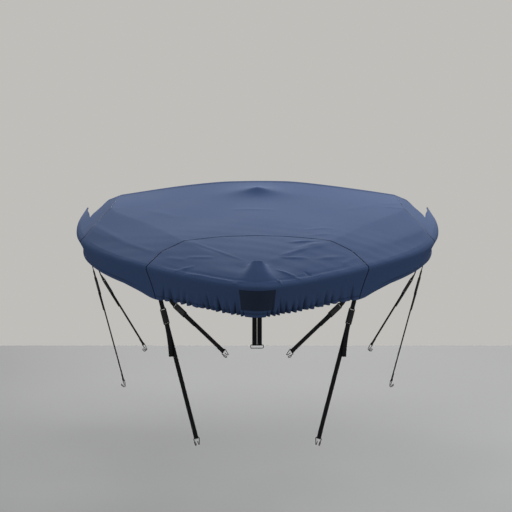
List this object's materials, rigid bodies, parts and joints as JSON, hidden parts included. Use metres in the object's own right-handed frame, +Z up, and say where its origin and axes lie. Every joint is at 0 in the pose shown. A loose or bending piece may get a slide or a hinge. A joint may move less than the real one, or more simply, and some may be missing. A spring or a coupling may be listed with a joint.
{
  "type": "fitted boat bow cover with tie-down straps",
  "caption": "Fitted canvas cover for the bow half of an open boat, with a gathered skirt, two aft corner flaps and webbing tie-downs ending in wire hooks.",
  "frame": {"origin": "on the centreline just under the top of the cloth, about midway along it, where the boat's deck would hold the cover up", "axes": "+X to the right as seen from ahead of the bow, +Y aft along the boat, +Z up"},
  "size_m": [2.352, 2.748, 1.1462],
  "materials": {
    "cloth": "slate blue coated polyester canvas, matt, fine plain weave",
    "patch": "dark navy reinforcing patch, smoother than the canvas",
    "webbing": "black polypropylene webbing, 25 mm wide, ribbed along its length",
    "moulding": "black moulded nylon",
    "wire": "black coated steel wire, 4 mm"
  },
  "bodies": {
    "root": {"bow_panel": "cloth", "deck_panel": "cloth", "corner_panel_left": "cloth", "corner_panel_right": "cloth", "bow_patch": "patch", "tab_quarter_left": "webbing", "tab_quarter_right": "webbing", "tab_side_left": "webbing", "tab_side_right": "webbing", "tab_front_left": "webbing", "tab_front_right": "webbing", "tab_brace_left": "webbing", "tab_brace_right": "webbing", "buckle_quarter_left": "moulding", "buckle_quarter_right": "moulding", "buckle_side_left": "moulding", "buckle_side_right": "moulding", "buckle_front_left": "moulding", "buckle_front_right": "moulding", "buckle_brace_left": "moulding", "buckle_brace_right": "moulding", "run_quarter_left": "webbing", "run_quarter_right": "webbing", "run_side_left": "webbing", "run_side_right": "webbing", "run_front_left": "webbing", "run_front_right": "webbing", "run_brace_left": "webbing", "run_brace_right": "webbing", "tail_quarter_left": "webbing", "tail_quarter_right": "webbing", "tail_side_left": "webbing", "tail_side_right": "webbing", "tail_front_left": "webbing", "tail_front_right": "webbing", "tail_brace_left": "webbing", "tail_brace_right": "webbing", "hook_quarter_left": "wire", "hook_quarter_right": "wire", "hook_side_left": "wire", "hook_side_right": "wire", "hook_front_left": "wire", "hook_front_right": "wire", "hook_brace_left": "wire", "hook_brace_right": "wire", "run_bow_left": "webbing", "run_bow_right": "webbing", "ring_bow": "wire"}
  },
  "joints": []
}
